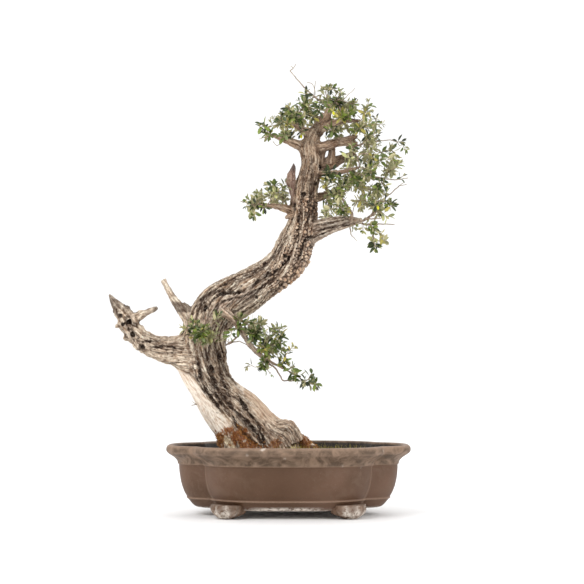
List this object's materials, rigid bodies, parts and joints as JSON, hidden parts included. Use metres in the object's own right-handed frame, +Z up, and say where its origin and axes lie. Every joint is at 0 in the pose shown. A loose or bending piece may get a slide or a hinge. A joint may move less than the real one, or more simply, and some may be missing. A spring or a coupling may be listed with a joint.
{
  "type": "olive bonsai in a quatrefoil pot",
  "caption": "Old leaning olive bonsai with a twisted, partly dead trunk and a small open crown, in an unglazed brown quatrefoil pot on cloud feet.",
  "frame": {"origin": "middle of the plan of the whole object, at the level of the soles of the feet (the table top)", "axes": "+Z up; +X to the right and +Y away from the viewer when the long front lobe of the pot faces the viewer"},
  "size_m": [0.5714, 0.33, 0.8543],
  "materials": {
    "clay": "unglazed fired stoneware, matte",
    "foot_clay": "unglazed fired stoneware with lime deposits, matte",
    "soil": "damp granular bonsai soil",
    "bark": "fissured old olive bark",
    "deadwood": "bare bleached olive wood",
    "twig": "thin grey olive twig",
    "leaf": "small leathery olive leaves"
  },
  "bodies": {
    "root": {"pot": "clay", "foot_front_left": "foot_clay", "foot_front_right": "foot_clay", "foot_back_left": "foot_clay", "foot_back_right": "foot_clay", "soil": "soil", "soil_mound": "soil", "trunk_lower": "bark", "trunk_middle": "bark", "trunk_upper": "bark", "deadwood_arm": "deadwood", "deadwood_spike": "deadwood", "deadwood_horn": "deadwood", "deadwood_stub": "deadwood", "pointed_stub": "deadwood", "bough_right": "bark", "bough_top_right": "bark", "bough_back_right": "bark", "bough_mid_right": "bark", "bough_top_left": "bark", "bough_left": "bark", "bough_crown_back": "bark", "bough_back": "bark", "bough_back_low": "bark", "bough_low": "bark", "bough_low_left": "bark", "twig_leader": "twig", "twig_right_tip": "twig", "twig_hanging": "twig", "twig_low_tip": "twig", "leaves_apex": "leaf", "leaves_crown_front": "leaf", "leaves_crown_back": "leaf", "leaves_crown_left": "leaf", "leaves_crown_right": "leaf", "leaves_upper_right": "leaf", "leaves_upper_right_back": "leaf", "leaves_outer_right": "leaf", "leaves_inner_right": "leaf", "leaves_inner_right_back": "leaf", "leaves_lower_right": "leaf", "leaves_low_tip_right": "leaf", "leaves_left_inner": "leaf", "leaves_left_outer": "leaf", "leaves_low_front": "leaf", "leaves_low_bridge": "leaf", "leaves_low_right": "leaf", "leaves_low_right_tip": "leaf"}
  },
  "joints": []
}
